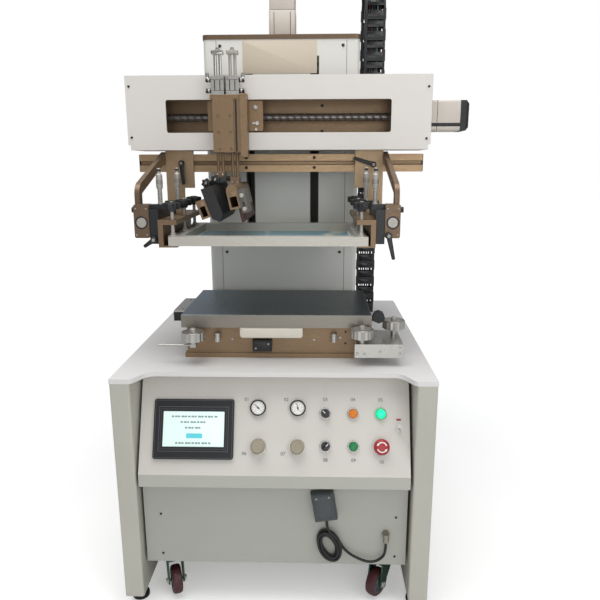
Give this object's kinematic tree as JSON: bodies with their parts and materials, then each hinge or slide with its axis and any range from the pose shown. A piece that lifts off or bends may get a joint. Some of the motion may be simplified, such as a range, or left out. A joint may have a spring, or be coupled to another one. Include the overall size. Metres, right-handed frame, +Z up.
{
  "type": "servo screen printing machine",
  "caption": "Flat-bed screen printing machine: cabinet with a slanted control panel, print table, column and a lifting beam that carries the screen and squeegee.",
  "frame": {"origin": "on the floor under the middle of the machine's bounding box", "axes": "+Z up, -Y towards the operator, +X to the operator's right"},
  "size_m": [0.935, 0.861, 1.716],
  "materials": {
    "bare_aluminium": "brushed",
    "black_plastic": "matt",
    "black_rubber": "matt",
    "blade_rubber": "satin",
    "brass": "satin",
    "bright_steel": "polished",
    "brown_metal": "satin anodised",
    "fork_steel": "zinc",
    "gauge_metal": "polished",
    "green_plastic": "gloss",
    "knob_plastic": "matt",
    "machine_paint": "satin powder coat",
    "machined_steel": "brushed",
    "mesh_fabric": "woven",
    "motor_alloy": "painted light grey",
    "orange_plastic": "gloss",
    "panel_paint": "satin powder coat",
    "red_plastic": "gloss",
    "screen_plastic": "semi-gloss",
    "switch_grey": "satin",
    "wheel_rubber": "matt"
  },
  "bodies": {
    "cabinet": {"cabinet_body": "machine_paint", "cable_chain": "black_plastic", "cable_coil": "black_rubber", "cable_gland": "brass", "column_body": "machine_paint", "column_top_plate": "brown_metal", "control_panel": "panel_paint", "foot_switch": "switch_grey", "foot_switch_cable": "black_rubber", "levelling_feet": "black_rubber", "lift_motor": "motor_alloy", "panel_bezels": "bright_steel", "platen": "bare_aluminium", "platen_base": "brown_metal", "platen_fittings": "bare_aluminium", "platen_handwheels": "black_plastic", "platen_stops": "black_plastic", "power_lamp": "green_plastic", "pressure_gauges": "gauge_metal", "side_panels": "machine_paint", "table_top": "machine_paint", "touch_screen": "screen_plastic"},
    "print_head": {"beam_cover": "panel_paint", "beam_spine": "bare_aluminium", "ball_screw": "bright_steel", "beam_motor": "motor_alloy", "cross_rail": "bare_aluminium", "hanger_plates": "brown_metal", "screen_arms": "machined_steel", "frame_clamps": "black_plastic", "screen_frame": "bare_aluminium", "screen_mesh": "mesh_fabric", "lift_arms": "machined_steel", "arm_braces": "brown_metal", "arm_end_blocks": "brown_metal", "arm_slides": "black_plastic", "height_micrometers": "bright_steel"},
    "carriage": {"carriage_plate": "brown_metal", "carriage_bracket": "bare_aluminium", "lift_cylinders": "bare_aluminium"},
    "squeegee": {"squeegee_holder": "brown_metal", "squeegee_blade": "black_rubber"},
    "flood_bar": {"flood_bar_holder": "brown_metal", "flood_bar_blade": "blade_rubber"},
    "left_regulator": {"left_regulator_knob": "knob_plastic"},
    "right_regulator": {"right_regulator_knob": "knob_plastic"},
    "upper_selector_switch": {"upper_selector": "black_plastic"},
    "lower_selector_switch": {"lower_selector": "black_plastic"},
    "orange_push_button": {"orange_button": "orange_plastic"},
    "start_push_button": {"start_button": "green_plastic"},
    "stop_button": {"emergency_stop": "red_plastic"},
    "toggle_switch": {"toggle_lever": "bright_steel"},
    "front_left_fork": {"front_left_caster_fork": "fork_steel"},
    "front_left_wheel": {"front_left_caster_wheel": "wheel_rubber"},
    "front_right_fork": {"front_right_caster_fork": "fork_steel"},
    "front_right_wheel": {"front_right_caster_wheel": "wheel_rubber"},
    "rear_left_fork": {"rear_left_caster_fork": "fork_steel"},
    "rear_left_wheel": {"rear_left_caster_wheel": "wheel_rubber"},
    "rear_right_fork": {"rear_right_caster_fork": "fork_steel"},
    "rear_right_wheel": {"rear_right_caster_wheel": "wheel_rubber"}
  },
  "joints": [
    {"name": "head_lift", "type": "slide", "parent": "cabinet", "child": "print_head", "axis": [0, 0, -1], "range_m": [0, 0.165]},
    {"name": "carriage_travel", "type": "slide", "parent": "print_head", "child": "carriage", "axis": [1, 0, 0], "range_m": [-0.02, 0.235]},
    {"name": "squeegee_lift", "type": "slide", "parent": "carriage", "child": "squeegee", "axis": [0, 0, -1], "range_m": [0, 0.045]},
    {"name": "flood_bar_lift", "type": "slide", "parent": "carriage", "child": "flood_bar", "axis": [0, 0, -1], "range_m": [0, 0.045]},
    {"name": "left_regulator_turn", "type": "hinge", "parent": "cabinet", "child": "left_regulator", "pos_m": [-0.093, -0.40203, 0.463], "axis": [0, -0.9245, 0.3811], "range_deg": [-720, 720]},
    {"name": "right_regulator_turn", "type": "hinge", "parent": "cabinet", "child": "right_regulator", "pos_m": [0.0055, -0.40203, 0.463], "axis": [0, -0.9245, 0.3811], "range_deg": [-720, 720]},
    {"name": "upper_selector_turn", "type": "hinge", "parent": "cabinet", "child": "upper_selector_switch", "pos_m": [0.0767, -0.3703, 0.54], "axis": [0, -0.9245, 0.3811], "range_deg": [-90, 0]},
    {"name": "lower_selector_turn", "type": "hinge", "parent": "cabinet", "child": "lower_selector_switch", "pos_m": [0.0767, -0.40121, 0.465], "axis": [0, -0.9245, 0.3811], "range_deg": [0, 90]},
    {"name": "orange_button_press", "type": "slide", "parent": "cabinet", "child": "orange_push_button", "axis": [0, 0.9245, -0.3811], "range_m": [0, 0.004], "stiffness_N_per_m": 400},
    {"name": "start_button_press", "type": "slide", "parent": "cabinet", "child": "start_push_button", "axis": [0, 0.9245, -0.3811], "range_m": [0, 0.004], "stiffness_N_per_m": 400},
    {"name": "stop_button_press", "type": "slide", "parent": "cabinet", "child": "stop_button", "axis": [0, 0.9245, -0.3811], "range_m": [0, 0.004]},
    {"name": "toggle_flip", "type": "hinge", "parent": "cabinet", "child": "toggle_switch", "pos_m": [0.262, -0.39414, 0.51181], "axis": [1, 0, 0], "range_deg": [-30, 0]},
    {"name": "front_left_caster_swivel", "type": "hinge", "parent": "cabinet", "child": "front_left_fork", "pos_m": [-0.33856, -0.3465, 0.107], "axis": [0, 0, 1], "continuous": true},
    {"name": "front_left_wheel_roll", "type": "hinge", "parent": "front_left_fork", "child": "front_left_wheel", "pos_m": [-0.33107, -0.36504, 0.043], "axis": [0.9272, 0.3746, 0], "continuous": true},
    {"name": "front_right_caster_swivel", "type": "hinge", "parent": "cabinet", "child": "front_right_fork", "pos_m": [0.23256, -0.3465, 0.107], "axis": [0, 0, 1], "continuous": true},
    {"name": "front_right_wheel_roll", "type": "hinge", "parent": "front_right_fork", "child": "front_right_wheel", "pos_m": [0.21971, -0.36182, 0.043], "axis": [0.766, -0.6428, 0], "continuous": true},
    {"name": "rear_left_caster_swivel", "type": "hinge", "parent": "cabinet", "child": "rear_left_fork", "pos_m": [-0.33856, 0.3465, 0.107], "axis": [0, 0, 1], "continuous": true},
    {"name": "rear_left_wheel_roll", "type": "hinge", "parent": "rear_left_fork", "child": "rear_left_wheel", "pos_m": [-0.3344, 0.32694, 0.043], "axis": [0.9781, 0.2079, 0], "continuous": true},
    {"name": "rear_right_caster_swivel", "type": "hinge", "parent": "cabinet", "child": "rear_right_fork", "pos_m": [0.23256, 0.3465, 0.107], "axis": [0, 0, 1], "continuous": true},
    {"name": "rear_right_wheel_roll", "type": "hinge", "parent": "rear_right_fork", "child": "rear_right_wheel", "pos_m": [0.22738, 0.32718, 0.043], "axis": [0.9659, -0.2588, 0], "continuous": true}
  ]
}
